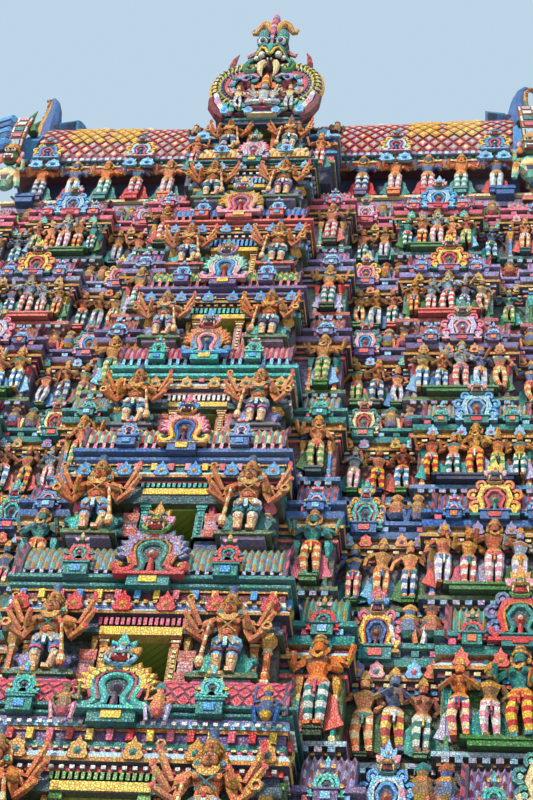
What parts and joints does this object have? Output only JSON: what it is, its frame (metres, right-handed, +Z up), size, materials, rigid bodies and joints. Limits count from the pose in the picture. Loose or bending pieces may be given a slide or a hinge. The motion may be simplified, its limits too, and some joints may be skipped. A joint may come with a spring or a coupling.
{
  "type": "gopuram, a temple gateway tower, as a 1:2 scale model",
  "caption": "Tapering temple gateway tower at half size: granite base with a passage, painted stucco storeys of small shrines and guardians, and a barrel roof with finials.",
  "frame": {"origin": "centre of the footprint on the ground", "axes": "+Z up, X along the tower's front, the front faces -Y"},
  "size_m": [16.6, 10.4, 26.244],
  "materials": {
    "granite": "dressed granite, weathered",
    "blue_stucco": "painted lime stucco",
    "teal_stucco": "painted lime stucco",
    "rose_stucco": "painted lime stucco",
    "roof_stucco": "painted lime stucco with relief",
    "gold_stucco": "painted lime stucco"
  },
  "bodies": {
    "root": {"gateway_floor": "granite", "base_plinth_left": "granite", "base_plinth_right": "granite", "base_wall_left": "granite", "base_wall_right": "granite", "gateway_lintel": "granite", "base_cornice": "granite", "storey_1_walls": "blue_stucco", "storey_1_cornice": "teal_stucco", "storey_1_parapet": "rose_stucco", "storey_2_walls": "teal_stucco", "storey_2_cornice": "rose_stucco", "storey_2_parapet": "blue_stucco", "storey_3_walls": "rose_stucco", "storey_3_cornice": "blue_stucco", "storey_3_parapet": "teal_stucco", "storey_4_walls": "blue_stucco", "storey_4_cornice": "teal_stucco", "storey_4_parapet": "rose_stucco", "storey_5_walls": "teal_stucco", "storey_5_cornice": "rose_stucco", "storey_5_parapet": "blue_stucco", "storey_6_walls": "rose_stucco", "storey_6_cornice": "blue_stucco", "storey_6_parapet": "teal_stucco", "storey_7_walls": "blue_stucco", "storey_7_cornice": "teal_stucco", "storey_7_parapet": "rose_stucco", "storey_8_walls": "teal_stucco", "storey_8_cornice": "rose_stucco", "storey_8_parapet": "blue_stucco", "roof_neck_walls": "blue_stucco", "roof_neck_shelf_left": "teal_stucco", "roof_neck_shelf_right": "teal_stucco", "roof_eave": "rose_stucco", "roof_vault": "roof_stucco", "roof_ridge_crest": "gold_stucco", "roof_gable_left": "blue_stucco", "roof_gable_right": "blue_stucco", "roof_gable_face_left": "gold_stucco", "roof_gable_face_right": "gold_stucco", "roof_dormer_front": "rose_stucco", "roof_dormer_back": "rose_stucco", "roof_crown_front": "teal_stucco", "roof_crown_back": "teal_stucco"}
  },
  "joints": []
}
